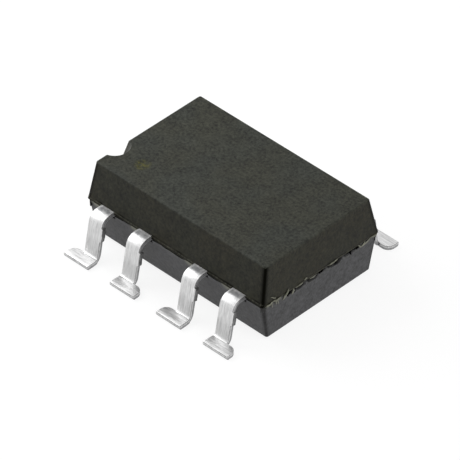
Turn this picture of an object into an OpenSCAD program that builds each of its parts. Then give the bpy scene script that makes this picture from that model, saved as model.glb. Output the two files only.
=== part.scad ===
// Eight-lead surface-mount optocoupler package: two light-coupled channels in one moulded casing.
// X runs along the casing, the first four leads leave towards -Y, and Z is up.
// The origin is on the board, under the middle of the casing. Sizes are in millimetres.

/* [Casing] */
// Width of the casing at its parting line, across the leads
body_width = 6.45; // [6:0.02:7.4]
// Casing beyond the outer leads' feet, measured from their middles to each end
end_margin = 0.97; // [0.9:0.01:1.4]
// Clear height between the board and the underside of the casing
standoff = 0.12; // [0.05:0.01:0.4]
// Height of the lower moulded half, from the underside to the parting line
lower_height = 1.77; // [1.4:0.01:2.4]
// Height of the upper moulded half, from the parting line to the top
upper_height = 1.73; // [1.5:0.01:2.4]
// Draft of the upper half: how far its top stands in at each end
top_inset_end = 0.17; // [0.05:0.01:0.4]
// Draft of the upper half: how far its top stands in at each long side
top_inset_side = 0.34; // [0.1:0.01:0.5]
// Draft of the lower half: how far its underside stands in at each end
bottom_inset_end = 0.12; // [0.05:0.01:0.4]
// Draft of the lower half: how far its underside stands in at each long side
bottom_inset_side = 0.35; // [0.1:0.01:0.5]
// Radius of the four upright corners
corner_radius = 0.09; // [0.05:0.01:0.3]
// Width of the broken edge round the top and the underside
edge_break = 0.05; // [0.02:0.01:0.12]
// How far the lower half stands in behind the upper half at the parting line
mould_step = 0.03; // [0.01:0.01:0.08]

/* [Marks] */
// Radius at the top face of the round notch in the first lead's end of the casing
notch_radius = 0.65; // [0.5:0.01:0.8]
// Slope of the notch's wall, in degrees from upright
notch_taper = 26; // [5:1:30]
// Centre of the notch, measured in from the front edge of the top face
notch_from_front = 1.21; // [0.9:0.01:2.8]
// Centre of the notch, measured out from the end edge of the top face
notch_from_end = 0.16; // [0:0.01:0.3]
// Depth of the notch below the top face
notch_depth = 0.8; // [0.4:0.05:0.85]
// Radius of the shallow dot beside the notch
dot_radius = 0.31; // [0.15:0.01:0.5]
// Distance from the front edge of the top face to the centre of the dot
dot_from_front = 1.12; // [0.8:0.01:2.8]
// Distance from the end edge of the top face to the centre of the dot
dot_from_end = 1.47; // [1.1:0.01:2]
// Depth of the dot
dot_depth = 0.03; // [0.01:0.01:0.08]
// Radius of the two round ejector-pin marks in the underside
ejector_radius = 0.55; // [0.3:0.01:0.8]
// Distance between the middles of the ejector-pin marks
ejector_spacing = 5.2; // [3:0.1:6]
// Depth of the ejector-pin marks
ejector_depth = 0.04; // [0.02:0.01:0.1]

/* [Leads] */
// Distance between neighbouring feet along a row
pitch = 2.54; // [2.5:0.01:2.8]
// Thickness of the lead frame
lead_thickness = 0.2; // [0.15:0.01:0.3]
// Width of a stem, from the casing down to the foot
stem_width = 0.7; // [0.5:0.01:0.9]
// Width of a foot
foot_width = 1.29; // [1:0.01:1.5]
// How far a stem stands off its foot's middle, towards its neighbour in the pair
stem_shift = 0.241; // [0.1:0.001:0.28]
// Reach of a foot beyond the casing's side at the parting line
lead_reach = 1.57; // [1.4:0.01:2.2]
// Distance from the casing's side to the outer corner that the shoulder bend rounds off
shoulder_reach = 0.63; // [0.58:0.01:0.9]
// Inner radius of the shoulder bend
shoulder_radius = 0.28; // [0.15:0.01:0.3]
// Inner radius of the bend above the foot
foot_bend_radius = 0.12; // [0.08:0.01:0.2]
// Lean of the stems away from the casing, in degrees from upright
stem_lean = 11; // [4:0.5:14]
// Start of the wide part of a foot, measured back from its tip
foot_length = 0.57; // [0.5:0.01:0.75]
// Radius of the foot's inner corner, where it widens
foot_corner_radius = 0.33; // [0.1:0.01:0.4]
// How far the trimmed tie bar stands out of a stem's edge
tie_stub = 0.075; // [0.05:0.005:0.15]
// Length of the tie-bar stub along the stem
tie_stub_length = 0.62; // [0.4:0.01:0.7]
// Height of the stub's lower end above the board
tie_stub_height = 0.95; // [0.6:0.01:1.05]
// How far the whole lead frame sits off the casing's middle, along X
frame_shift = -0.06; // [-0.1:0.01:0.1]

/* [Parting-line flash] */
// How far the trimmed web between the leads stands out of a long side
web_proud = 0.03; // [0.01:0.01:0.06]
// Length at each end of a long side that the web leaves clear
web_end = 0.2; // [0.1:0.01:0.4]
// Furthest reach of the ragged fin at each end
fin_reach = 0.1; // [0.04:0.01:0.15]
// Thickness of the fin
fin_thickness = 0.05; // [0.03:0.01:0.1]
// Number of teeth in the fin
fin_teeth = 26; // [10:1:40]

/* [Inner lead frame] */
// Width of the shoulder that anchors a lead in the casing
anchor_width = 1.0; // [0.8:0.01:1.2]
// Length of that shoulder, along the lead
anchor_length = 0.8; // [0.6:0.01:1]
// Cover between the shoulder and the casing's side
anchor_cover = 0.36; // [0.3:0.01:0.5]
// Radius of the locking hole in each shoulder, which the casing fills
lock_radius = 0.15; // [0.1:0.01:0.2]
// Width of the arm between the shoulder and its pad or post
arm_width = 0.42; // [0.3:0.01:0.5]
// Side of the square pad under an emitter
emitter_pad = 0.8; // [0.6:0.01:0.9]
// Side of the square pad under a detector
detector_pad = 1.0; // [0.9:0.01:1.1]
// Width of a wire post
post_width = 0.42; // [0.3:0.01:0.5]
// Length of a wire post, across the casing
post_length = 0.6; // [0.4:0.01:0.8]
// Distance from a pair's middle to the centres of its pads, away from the casing's middle
pad_offset = 0.42; // [0.4:0.01:0.5]
// Distance from a pair's middle to the centres of its posts
post_offset = 0.5; // [0.48:0.01:0.6]
// Insulating gap between the emitter and detector pads
isolation_gap = 0.5; // [0.4:0.01:0.7]

/* [Dies and coupling] */
// Side of an emitter die
emitter_die = 0.3; // [0.2:0.01:0.4]
// Height of an emitter die
emitter_die_height = 0.18; // [0.1:0.01:0.25]
// Side of a detector die
detector_die = 0.7; // [0.5:0.01:0.8]
// Height of a detector die
detector_die_height = 0.22; // [0.15:0.01:0.3]
// Thickness of the bonding layer under a die
bond_layer = 0.025; // [0.015:0.005:0.05]
// How far the bonding layer shows round its die
bond_margin = 0.04; // [0.02:0.01:0.06]
// Radius of the bond wire
wire_radius = 0.025; // [0.02:0.005:0.03]
// Radius of the ball that starts each wire
ball_radius = 0.05; // [0.04:0.005:0.06]
// Height of that ball
ball_height = 0.03; // [0.02:0.005:0.04]
// Radius of a clear coupling dome at the lead frame
dome_radius = 1.6; // [1.5:0.01:1.7]
// Height of the dome above the middle of the lead frame
dome_rise = 1.16; // [1.1:0.01:1.25]
// Depth of the dome below the middle of the lead frame
dome_sag = 0.5; // [0.35:0.01:0.7]

/* [Hidden] */

$fn = 48;
CUT = 1;          // length by which cutting solids run past what they cut
SEAT = 0.05;      // length by which the room for a stacked piece runs down into what carries it
SKIN = 0.02;      // thickness of the plates that a moulded half is hulled from
ROW = 4;          // leads in a row
BEND_STEPS = 10;  // flats that a bend is drawn with
FLAT_OVERLAP = 0.05;  // flat stretch that the formed part of a lead shares with its inner part

// Casing, derived
body_length = (ROW - 1) * pitch + 2 * end_margin;
z_parting = standoff + lower_height;
z_top = z_parting + upper_height;
top_end_x = body_length / 2 - top_inset_end;
top_front_y = body_width / 2 - top_inset_side;

// Lead frame, derived: u is the distance outwards from the casing's middle, as Y on the back row
z_frame = z_parting - lead_thickness / 2;
z_frame_top = z_parting + lead_thickness / 2;
tip_u = body_width / 2 + lead_reach;
shoulder_u = body_width / 2 + shoulder_reach;
shoulder_outer_radius = shoulder_radius + lead_thickness;
bend_angle = 90 - stem_lean;
bend_start_u = shoulder_u - shoulder_outer_radius * tan(bend_angle / 2);
foot_bend_z = lead_thickness + foot_bend_radius;
foot_bend_u = shoulder_u + (z_frame_top - foot_bend_z) * tan(stem_lean) + foot_bend_radius / cos(stem_lean);
stem_x = pitch / 2 - stem_shift;      // from a pair's middle to its stems' middles
pair_x = pitch;                       // from the frame's middle to a pair's middle

// Inner frame, derived
anchor_u = body_width / 2 - anchor_cover - anchor_length;
emitter_u = isolation_gap / 2 + emitter_pad / 2;
detector_u = isolation_gap / 2 + detector_pad / 2;

// ---------- Casing ----------

// One layer of a moulded half, standing in by dx at the ends and dy at the sides
module plate(z, dx, dy)
    translate([0, 0, z])
        linear_extrude(SKIN)
            offset(r = corner_radius)
                square([body_length - 2 * (dx + corner_radius),
                        body_width - 2 * (dy + corner_radius)], center = true);

// A drafted half with a broken outer edge, standing on the parting plane
module moulded_half(height, step, inset_end, inset_side) {
    full = (height - edge_break) / height;
    hull() {
        plate(0, step, step);
        plate(height - edge_break - SKIN, inset_end * full, inset_side * full);
        plate(height - SKIN, inset_end + edge_break, inset_side + edge_break);
    }
}

// Trimmed web of lead-frame thickness along both long sides, between the leads
module side_webs()
    translate([-body_length / 2 + web_end, -body_width / 2 - web_proud, z_frame])
        cube([body_length - 2 * web_end, body_width + 2 * web_proud, lead_thickness]);

// Reach of the fin's tooth k, uneven and never zero
function fin_tooth(k) = fin_reach * (k % 5 == 2 ? 1 : 0.3 + 0.6 * abs(sin(k * 67)));

// Ragged fin of flash along the parting line at the +X end
module end_fin() {
    span = body_width - 2 * corner_radius;
    x_face = body_length / 2;
    teeth = [for (k = [0:fin_teeth]) [x_face + fin_tooth(k), -span / 2 + k * span / fin_teeth]];
    translate([0, 0, z_parting - fin_thickness / 2])
        linear_extrude(fin_thickness)
            polygon(concat([[x_face - fin_reach, -span / 2]], teeth, [[x_face - fin_reach, span / 2]]));
}

// Tapered notch, narrower at its floor
module notch()
    translate([-top_end_x - notch_from_end, -top_front_y + notch_from_front, z_top - notch_depth])
        cylinder(r1 = notch_radius - notch_depth * tan(notch_taper),
                 r2 = notch_radius + CUT * tan(notch_taper), h = notch_depth + CUT);

module dot()
    translate([-top_end_x + dot_from_end, -top_front_y + dot_from_front, z_top - dot_depth])
        cylinder(r = dot_radius, h = dot_depth + CUT);

// Marks left in the underside by the pins that push the casing out of its mould
module ejector_marks()
    for (s = [-1, 1])
        translate([s * ejector_spacing / 2, 0, standoff + ejector_depth - CUT])
            cylinder(r = ejector_radius, h = CUT);

module package_body()
    color([0.17, 0.17, 0.15])
        difference() {
            union() {
                translate([0, 0, z_parting])
                    moulded_half(upper_height, 0, top_inset_end, top_inset_side);
                translate([0, 0, z_parting + SKIN])
                    mirror([0, 0, 1])
                        moulded_half(lower_height + SKIN, mould_step, bottom_inset_end, bottom_inset_side);
                side_webs();
                end_fin();
                mirror([1, 0, 0]) end_fin();
            }
            notch();
            dot();
            ejector_marks();
            for (s = [-1, 1]) dome(s);
            for (n = [1:2 * ROW]) flat_lead(n);
        }

// ---------- Leads ----------

// Column of lead n in its row, 0 at the -X end: the numbers run round the casing
function column(n) = n <= ROW ? n - 1 : 2 * ROW - n;

// Which way the stem of a column stands off its foot's middle: towards the other lead of the pair
function stem_side(col) = col % 2 == 0 ? 1 : -1;

// Everything on a lead is drawn for the back row, with u along +Y; the front row is its mirror image
module on_row(n)
    mirror([0, n <= ROW ? 1 : 0, 0])
        translate([frame_shift, 0, 0])
            children();

// Points along an arc about a centre, from angle a0 to a1
function arc(centre, radius, a0, a1) =
    [for (k = [0:BEND_STEPS])
        let (a = a0 + k * (a1 - a0) / BEND_STEPS)
        centre + radius * [cos(a), sin(a)]];

// Side view of a formed lead: along its outer face from the casing to the tip, and back along the inner one
function lead_profile() =
    let (shoulder = [bend_start_u, z_frame_top - shoulder_outer_radius],
         heel = [foot_bend_u, foot_bend_z])
    concat(
        [[bend_start_u - FLAT_OVERLAP, z_frame], [bend_start_u - FLAT_OVERLAP, z_frame_top]],
        arc(shoulder, shoulder_outer_radius, 90, stem_lean),
        arc(heel, foot_bend_radius, 180 + stem_lean, 270),
        [[tip_u, lead_thickness], [tip_u, 0]],
        arc(heel, foot_bend_radius + lead_thickness, 270, 180 + stem_lean),
        arc(shoulder, shoulder_radius, stem_lean, 90));

// Plan of a foot, about its own middle: the inner corner of its wide side is rounded
function foot_plan(side) =
    let (wide = -side * foot_width / 2,
         back = tip_u - foot_length,
         corner = [wide + side * foot_corner_radius, back + foot_corner_radius])
    concat(
        [[-wide, back], [-wide, tip_u + CUT], [wide, tip_u + CUT]],
        arc(corner, foot_corner_radius, side > 0 ? 180 : 0, side > 0 ? 270 : -90));

// The formed part of a lead, outside the casing
module formed_lead(col) {
    side = stem_side(col);
    edge = side * stem_shift - stem_width / 2;
    translate([(col - (ROW - 1) / 2) * pitch, 0, 0])
        intersection() {
            rotate([90, 0, 90])
                linear_extrude(2 * foot_width, center = true)
                    polygon(lead_profile());
            union() {
                translate([edge, 0, -CUT])
                    cube([stem_width, tip_u + CUT, z_top]);
                translate([edge, 0, tie_stub_height])
                    cube([stem_width + tie_stub, tip_u + CUT, tie_stub_length]);
                translate([0, 0, -CUT])
                    linear_extrude(CUT + foot_bend_z + foot_bend_radius)
                        polygon(foot_plan(side));
            }
        }
}

// The flat part in the casing: neck, anchor with its locking hole and arm, then a pad in the
// outer columns or a wire post in the inner ones
module flat_frame(col, pad, end_u) {
    carries_die = col == 0 || col == ROW - 1;
    neck_x = carries_die ? pair_x + stem_x : pair_x - stem_x;
    end_x = carries_die ? pair_x + pad_offset : pair_x - post_offset;
    end_size = carries_die ? [pad, pad] : [post_width, post_length];
    half_arm = arm_width / 2;
    mirror([col < ROW / 2 ? 1 : 0, 0, 0])
        difference() {
            union() {
                translate([neck_x - stem_width / 2, anchor_u, 0])
                    cube([stem_width, bend_start_u - anchor_u, lead_thickness]);
                translate([neck_x - anchor_width / 2, anchor_u, 0])
                    cube([anchor_width, anchor_length, lead_thickness]);
                linear_extrude(lead_thickness)
                    polygon([[neck_x - half_arm, anchor_u + half_arm],
                             [neck_x + half_arm, anchor_u + half_arm],
                             [end_x + half_arm, end_u], [end_x - half_arm, end_u]]);
                translate([end_x - end_size[0] / 2, end_u - end_size[1] / 2, 0])
                    cube([end_size[0], end_size[1], lead_thickness]);
            }
            translate([neck_x, anchor_u + anchor_length / 2, -CUT])
                cylinder(r = lock_radius, h = 3 * CUT);
        }
}

// The flat part of lead n: emitters sit on the front row, detectors on the back row
module flat_lead(n)
    on_row(n)
        translate([0, 0, z_frame])
            flat_frame(column(n), n <= ROW ? emitter_pad : detector_pad, n <= ROW ? emitter_u : detector_u);

module lead(n)
    color([0.78, 0.78, 0.77]) {
        flat_lead(n);
        on_row(n) formed_lead(column(n));
    }

// ---------- Dies, wires and coupling ----------

// Places a piece of channel s (-1 for a, 1 for b), drawn for the +X pair and the back row
module on_channel(s, front)
    translate([frame_shift, 0, 0])
        mirror([s < 0 ? 1 : 0, 0, 0])
            mirror([0, front ? 1 : 0, 0])
                translate([pair_x + pad_offset, front ? emitter_u : detector_u, z_frame_top])
                    children();

function die_side(front) = front ? emitter_die : detector_die;
function die_top(front) = bond_layer + (front ? emitter_die_height : detector_die_height);

// A square block of the given side, between two heights over the pad
module square_block(side, z0, z1)
    translate([-side / 2, -side / 2, z0])
        cube([side, side, z1 - z0]);

module bond(s, front)
    color([0.6, 0.6, 0.58])
        on_channel(s, front)
            square_block(die_side(front) + 2 * bond_margin, 0, bond_layer);

module die(s, front)
    color(front ? [0.45, 0.3, 0.25] : [0.25, 0.27, 0.35])
        on_channel(s, front)
            square_block(die_side(front), bond_layer, die_top(front));

// One arc of wire, from the ball on the die down to the post and a little way into it
module wire_arc(front) {
    span = pad_offset + post_offset;
    start_z = die_top(front) + ball_height;
    loop_radius = (span * span + start_z * start_z) / (2 * span);
    landing = asin(start_z / loop_radius) + asin(2 * wire_radius / loop_radius);
    translate([-loop_radius, 0, start_z])
        rotate([90, 0, 0])
            rotate_extrude(angle = 180 + landing)
                translate([loop_radius, 0]) circle(r = wire_radius);
}

// Gold wire: a ball on the die, then the arc, cut flush with the post's face
module wire(s, front)
    color([0.85, 0.65, 0.2])
        on_channel(s, front) {
            translate([0, 0, die_top(front)]) cylinder(r = ball_radius, h = ball_height);
            difference() {
                wire_arc(front);
                translate([-pad_offset - post_offset - CUT / 2, -CUT / 2, -CUT]) cube(CUT);
            }
        }

// Room that the bond, the die and the wire of one side take up in the dome: each part of it
// starts inside the one below
module stack_room(s, front) {
    on_channel(s, front) square_block(die_side(front) + 2 * bond_margin, -SEAT, bond_layer);
    on_channel(s, front) square_block(die_side(front), bond_layer - SEAT, die_top(front));
    on_channel(s, front)
        translate([0, 0, die_top(front) - SEAT])
            cylinder(r = ball_radius, h = ball_height + SEAT);
    on_channel(s, front) wire_arc(front);
}

// Outer form of a coupling dome: a lens that meets at the middle of the lead frame, where
// sphere_radius() gives the sphere that rises by the given height over the dome's edge
function sphere_radius(rise) = (dome_radius * dome_radius + rise * rise) / (2 * rise);

module dome(s)
    translate([frame_shift + s * pair_x, 0, z_parting])
        intersection() {
            translate([0, 0, dome_rise - sphere_radius(dome_rise)]) sphere(r = sphere_radius(dome_rise));
            translate([0, 0, sphere_radius(dome_sag) - dome_sag]) sphere(r = sphere_radius(dome_sag));
        }

module coupling_dome(s)
    color([0.85, 0.87, 0.9, 0.4])
        difference() {
            dome(s);
            for (n = s < 0 ? [1, 2, 7, 8] : [3, 4, 5, 6]) flat_lead(n);
            for (front = [true, false]) stack_room(s, front);
        }

// ---------- The package ----------

package_body();
for (n = [1:2 * ROW])
    lead(n);
for (s = [-1, 1]) {
    ch = s < 0 ? "a" : "b";
    for (front = [true, false]) {
        side = front ? "emitter" : "detector";
        bond(s, front);
        die(s, front);
        wire(s, front);
    }
    coupling_dome(s);
}
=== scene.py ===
"""An eight-lead surface-mount chip package on a white table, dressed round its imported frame.

Everything is built in millimetres in the frame's own axes, then scaled to metres, so that each
object sits at the origin. X runs along the casing, the front row of leads points towards -Y.
"""

import math

import bmesh
import bpy
from mathutils import Matrix, Vector, noise


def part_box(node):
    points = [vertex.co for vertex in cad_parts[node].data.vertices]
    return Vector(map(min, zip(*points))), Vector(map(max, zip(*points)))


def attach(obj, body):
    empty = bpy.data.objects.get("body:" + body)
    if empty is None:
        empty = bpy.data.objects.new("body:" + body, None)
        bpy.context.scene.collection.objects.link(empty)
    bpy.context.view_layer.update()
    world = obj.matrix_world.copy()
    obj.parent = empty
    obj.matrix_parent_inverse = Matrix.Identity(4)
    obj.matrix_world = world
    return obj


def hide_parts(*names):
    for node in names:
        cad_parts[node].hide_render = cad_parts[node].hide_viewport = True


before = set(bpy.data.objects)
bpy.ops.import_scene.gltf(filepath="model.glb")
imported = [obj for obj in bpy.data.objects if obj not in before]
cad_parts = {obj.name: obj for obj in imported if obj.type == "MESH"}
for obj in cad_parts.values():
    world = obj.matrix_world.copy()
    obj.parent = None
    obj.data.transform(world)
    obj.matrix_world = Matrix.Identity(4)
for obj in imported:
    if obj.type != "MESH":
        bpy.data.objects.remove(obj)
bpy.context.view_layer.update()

MM = 0.001
HAIR = 1e-5              # what counts as the same place when edges are cut or merged

# ---------- Sizes, in millimetres ----------

def node_box(node):
    """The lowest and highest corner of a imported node."""
    low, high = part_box(node)
    return [v / MM for v in low], [v / MM for v in high]


casing_low, casing_high = node_box("package_body")
lead_low, lead_high = node_box("lead_2")

FIN_REACH = 0.10         # how far the flash at the ends stands out in the frame
WEB_PROUD = 0.03         # how far the web between the leads stands out
HALF_X = casing_high[0] - FIN_REACH
HALF_Y = casing_high[1] - WEB_PROUD
Z_UNDER, Z_TOP = casing_low[2], casing_high[2]
LEAD_T = 0.20
Z_PARTING = lead_high[2] - LEAD_T / 2
TIP_U = -lead_low[1]

TOP_INSET = (0.17, 0.34)     # how far the drafted walls lean in by the top, along X and Y
UNDER_INSET = (0.12, 0.35)   # and by the underside
MOULD_STEP = 0.03        # how far the lower half stands back
TOP_RIM, UNDER_RIM = 0.06, 0.05
CORNER = 0.10
CORNER_SHADE = 0.12      # how far the shade of an upright corner fades out on its walls
SPLIT_TOP, SPLIT_LOW, SPLIT_DEPTH = 0.01, 0.30, 0.14     # the open groove behind the flash

NOTCH_RADIUS, NOTCH_SLOPE, NOTCH_DEPTH = 0.65, math.radians(26), 0.80
NOTCH_XY = (-HALF_X + TOP_INSET[0] - 0.16, -HALF_Y + TOP_INSET[1] + 1.21)
DOT_RADIUS, DOT_DEPTH, DOT_SLOPE = 0.31, 0.02, 0.10
DOT_XY = (-HALF_X + TOP_INSET[0] + 1.47, -HALF_Y + TOP_INSET[1] + 1.12)
EJECTOR_RADIUS, EJECTOR_DEPTH, EJECTOR_SPACING = 0.55, 0.04, 5.2

PITCH = 2.54
ROW = 4
FRAME_SHIFT = -0.06
STEM_W, STEM_SHIFT = 0.70, 0.241    # a stem stands this far from the middle of its foot
FOOT_W, FOOT_LENGTH, FOOT_CORNER = 1.29, 0.57, 0.33
SHOULDER_REACH, SHOULDER_R = 0.63, 0.28
FOOT_R, HEEL_R = 0.14, 0.46        # inside and outside of the lower bend, thinned by forming
LEAN = math.radians(11)
FLARE_START, FLARE_END = 0.35, 0.25  # where a stem's outer edge widens, before and past the foot
STUB, STUB_LENGTH, STUB_HEIGHT = 0.075, 0.62, 0.95   # the trimmed tie bar on a stem's edge
STUB_TEETH, STUB_RAGGED = 8, 0.02
RIM_ROUND, TIP_ROLLOVER = 0.02, 0.10
FLANGE_BLEND = 0.03      # the wide foot is coined flat from just beside the stem
FLANGE_MARGIN = 0.01     # and from just before its back edge
SHOULDER_CUTS, STEM_CUTS, HEEL_CUTS = 16, 6, 20      # edges across a strip in each stretch
LEAD_OVERLAP = 0.30      # how far in the wall the formed lead starts
INNER_CUT = 0.28         # and where the copied inner part ends


# ---------- Mesh helpers ----------

def finish_piece(bm, name, materials, node=None, smooth_angle=35):
    """Makes a bmesh drawn in millimetres into a piece in metres that rides on the part."""
    bmesh.ops.scale(bm, vec=(MM, MM, MM), verts=bm.verts)
    for face in bm.faces:
        face.smooth = True
    mesh = bpy.data.meshes.new(name)
    bm.to_mesh(mesh)
    bm.free()
    mesh.set_sharp_from_angle(angle=math.radians(smooth_angle))
    piece = bpy.data.objects.new(name, mesh)
    bpy.context.scene.collection.objects.link(piece)
    for material in materials:
        mesh.materials.append(material)
    even = piece.modifiers.new("even_shading", "WEIGHTED_NORMAL")
    even.keep_sharp = True
    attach(piece, "root")
    if node:
        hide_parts(node)
    return piece


def scratch_object(bm, name):
    """A plain object made of a bmesh, for cutting with or for the table."""
    mesh = bpy.data.meshes.new(name)
    bm.to_mesh(mesh)
    bm.free()
    obj = bpy.data.objects.new(name, mesh)
    bpy.context.scene.collection.objects.link(obj)
    return obj


def drop(obj):
    """Removes a scratch object and its mesh."""
    mesh = obj.data
    bpy.data.objects.remove(obj)
    bpy.data.meshes.remove(mesh)


def join(bm, part):
    """Adds a second bmesh to the first."""
    mesh = bpy.data.meshes.new("joined")
    part.to_mesh(mesh)
    part.free()
    bm.from_mesh(mesh)
    bpy.data.meshes.remove(mesh)


def cut_away(bm, cutters):
    """Subtracts closed bmeshes from a closed bmesh and returns the result."""
    body = scratch_object(bm, "cut_body")
    tools = [scratch_object(cutter, "cut_tool") for cutter in cutters]
    for tool in tools:
        modifier = body.modifiers.new("cut", "BOOLEAN")
        modifier.operation = "DIFFERENCE"
        modifier.solver = "EXACT"
        modifier.object = tool
    evaluated = body.evaluated_get(bpy.context.evaluated_depsgraph_get())
    result = bmesh.new()
    result.from_mesh(evaluated.to_mesh())
    evaluated.to_mesh_clear()
    for obj in [body, *tools]:
        drop(obj)
    return result


def rough(*where, scale=1.0):
    """Smooth repeatable unevenness between about -1 and 1 at a place."""
    return noise.noise(Vector([*where, 0.0, 0.0][:3]) * scale)


def held(value, low=0.0, high=1.0):
    """A value kept between two limits."""
    return min(high, max(low, value))


# ---------- Casing ----------

def half_sizes(z):
    """Half of the casing's length and width at a height, the step between the halves rounded."""
    if z >= Z_PARTING:
        share = (z - Z_PARTING) / (Z_TOP - Z_PARTING)
        return HALF_X - TOP_INSET[0] * share, HALF_Y - TOP_INSET[1] * share
    share = (Z_PARTING - z) / (Z_PARTING - Z_UNDER)
    step = MOULD_STEP * min(1, (Z_PARTING - z) / 0.05)
    return (HALF_X - step - (UNDER_INSET[0] - MOULD_STEP) * share,
            HALF_Y - step - (UNDER_INSET[1] - MOULD_STEP) * share)


def split_near_ends(edge, inset):
    """Puts a vertex the same way in from both ends of an edge."""
    length = edge.calc_length()
    first, last = edge.verts
    _, near_first = bmesh.utils.edge_split(edge, first, inset / length)
    rest = next(e for e in near_first.link_edges if last in e.verts)
    bmesh.utils.edge_split(rest, last, inset / (length - inset))


def outline_level(bm, face, z, inset=0.0):
    """Extrudes a cap to the next level of the casing and fits it to that level's size."""
    half_x, half_y = (half - inset for half in half_sizes(z))
    grown = bmesh.ops.extrude_face_region(bm, geom=[face])
    cap = next(g for g in grown["geom"] if isinstance(g, bmesh.types.BMFace))
    bmesh.ops.delete(bm, geom=[face], context="FACES_ONLY")
    wide = max(abs(v.co.x) for v in cap.verts)
    deep = max(abs(v.co.y) for v in cap.verts)
    for v in cap.verts:
        v.co = (v.co.x * half_x / wide, v.co.y * half_y / deep, z)
    return cap


def casing_blank():
    """Both drafted halves as one closed shell, with the open split that the flash bridges."""
    bm = bmesh.new()
    bmesh.ops.create_grid(bm, x_segments=1, y_segments=1, size=1)
    half_x, half_y = half_sizes(Z_UNDER)
    for v in bm.verts:
        v.co = (math.copysign(half_x, v.co.x), math.copysign(half_y, v.co.y), Z_UNDER)
    bmesh.ops.bevel(bm, geom=bm.verts[:], offset=CORNER, segments=6, profile=0.5,
                    affect="VERTICES", material=-1)
    for wall in [e for e in bm.edges if e.calc_length() > 10 * CORNER]:
        split_near_ends(wall, CORNER_SHADE)
    bottom = bm.faces[:][0]
    bottom_copy = bmesh.ops.duplicate(bm, geom=[bottom])
    cap = next(g for g in bottom_copy["geom"] if isinstance(g, bmesh.types.BMFace))
    cap = outline_level(bm, cap, Z_PARTING - SPLIT_LOW)
    cap = outline_level(bm, cap, Z_PARTING - SPLIT_LOW, SPLIT_DEPTH)
    cap = outline_level(bm, cap, Z_PARTING - SPLIT_TOP, SPLIT_DEPTH)
    cap = outline_level(bm, cap, Z_PARTING - SPLIT_TOP, -MOULD_STEP * 0.4)
    cap = outline_level(bm, cap, Z_TOP)
    bmesh.ops.remove_doubles(bm, verts=bm.verts, dist=HAIR)
    bmesh.ops.recalc_face_normals(bm, faces=bm.faces)
    for level, width in ((Z_TOP, TOP_RIM), (Z_UNDER, UNDER_RIM)):
        rim = [e for e in bm.edges if all(abs(v.co.z - level) < 10 * HAIR for v in e.verts)]
        bmesh.ops.bevel(bm, geom=rim, offset=width, segments=4, profile=0.5,
                        affect="EDGES", material=-1)
    return bm


def cutter_cone(x, y, z_low, z_high, radius_low, radius_high, segments=64):
    """A round upright cutter between two heights."""
    bm = bmesh.new()
    bmesh.ops.create_cone(bm, cap_ends=True, segments=segments, radius1=radius_low,
                          radius2=radius_high, depth=z_high - z_low)
    bmesh.ops.translate(bm, vec=(x, y, (z_low + z_high) / 2), verts=bm.verts)
    return bm


def casing_cutters():
    """The notch, the dot and the two ejector marks."""
    over = 0.5
    spread = math.tan(NOTCH_SLOPE)
    yield cutter_cone(*NOTCH_XY, Z_TOP - NOTCH_DEPTH, Z_TOP + over,
                      NOTCH_RADIUS - NOTCH_DEPTH * spread, NOTCH_RADIUS + over * spread)
    yield cutter_cone(*DOT_XY, Z_TOP - DOT_DEPTH, Z_TOP + DOT_DEPTH, DOT_RADIUS - DOT_SLOPE,
                      DOT_RADIUS + DOT_SLOPE)
    for side in (-1, 1):
        yield cutter_cone(side * EJECTOR_SPACING / 2, 0, Z_UNDER - over, Z_UNDER + EJECTOR_DEPTH,
                          EJECTOR_RADIUS, EJECTOR_RADIUS)


def mark_corners(bm):
    """Writes the shade of the upright corners: 1 on their round, fading out on the walls."""
    corner = bm.loops.layers.float.new("corner")
    for face in bm.faces:
        wall = abs(face.normal.z) < 0.35
        for loop in face.loops:
            x, y, z = loop.vert.co
            half_x, half_y = half_sizes(z)
            away = max(half_x - abs(x), half_y - abs(y))
            fade = (CORNER + CORNER_SHADE - away) / (CORNER_SHADE + 0.4 * CORNER)
            loop[corner] = held(fade) if wall else 0


def make_casing(materials):
    """The moulded casing with its flash, as one piece."""
    bm = cut_away(casing_blank(), casing_cutters())
    add_flash(bm)
    mark_corners(bm)
    return finish_piece(bm, "moulded_casing", materials, "package_body")


# ---------- Flash on the parting line ----------

# Strips of flash are laid along the walls. Their places are (along the wall, out of it, height).
RIBBON_STEP = 0.03       # how far apart their sections are
TUCK = 0.03              # how far their hidden edges dive behind the wall
SLIT = 0.10              # how far their open edges reach in the groove
SLIVER_ROUND, SLIVER_LIFT, SLIVER_BOW = 0.58, 0.035, 0.25
END_SEEDS = ((1, 2.5), (-1, 7.5))    # which end, and what its tears grow from

# Torn slivers of flash left on an end: both ends as (place along it, height over the parting
# line), then the width.
END_SLIVERS = (
    ((-3.10, -0.04), (-2.66, 0.03), 0.07),
    ((-2.72, 0.02), (-2.20, -0.03), 0.08),
    ((-2.78, 0.30), (-2.50, 0.08), 0.04),
    ((-2.74, 0.00), (-2.70, -0.30), 0.05),
    ((-2.52, -0.02), (-2.49, -0.26), 0.05),
    ((-2.42, -0.03), (-2.36, -0.33), 0.04),
    ((-2.12, -0.29), (-1.79, 0.15), 0.10),
    ((-1.61, -0.28), (-1.48, -0.04), 0.08),
    ((-1.42, -0.05), (-1.00, 0.00), 0.08),
    ((-0.98, 0.09), (-0.78, 0.09), 0.05),
    ((-0.64, -0.10), (-0.19, -0.06), 0.06),
    ((0.34, -0.02), (0.92, 0.02), 0.06),
    ((2.04, 0.00), (2.26, -0.24), 0.06),
    ((2.22, -0.24), (2.48, -0.03), 0.06),
    ((2.34, -0.20), (2.78, -0.06), 0.06),
    ((2.70, -0.03), (3.20, -0.08), 0.09),
)
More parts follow.
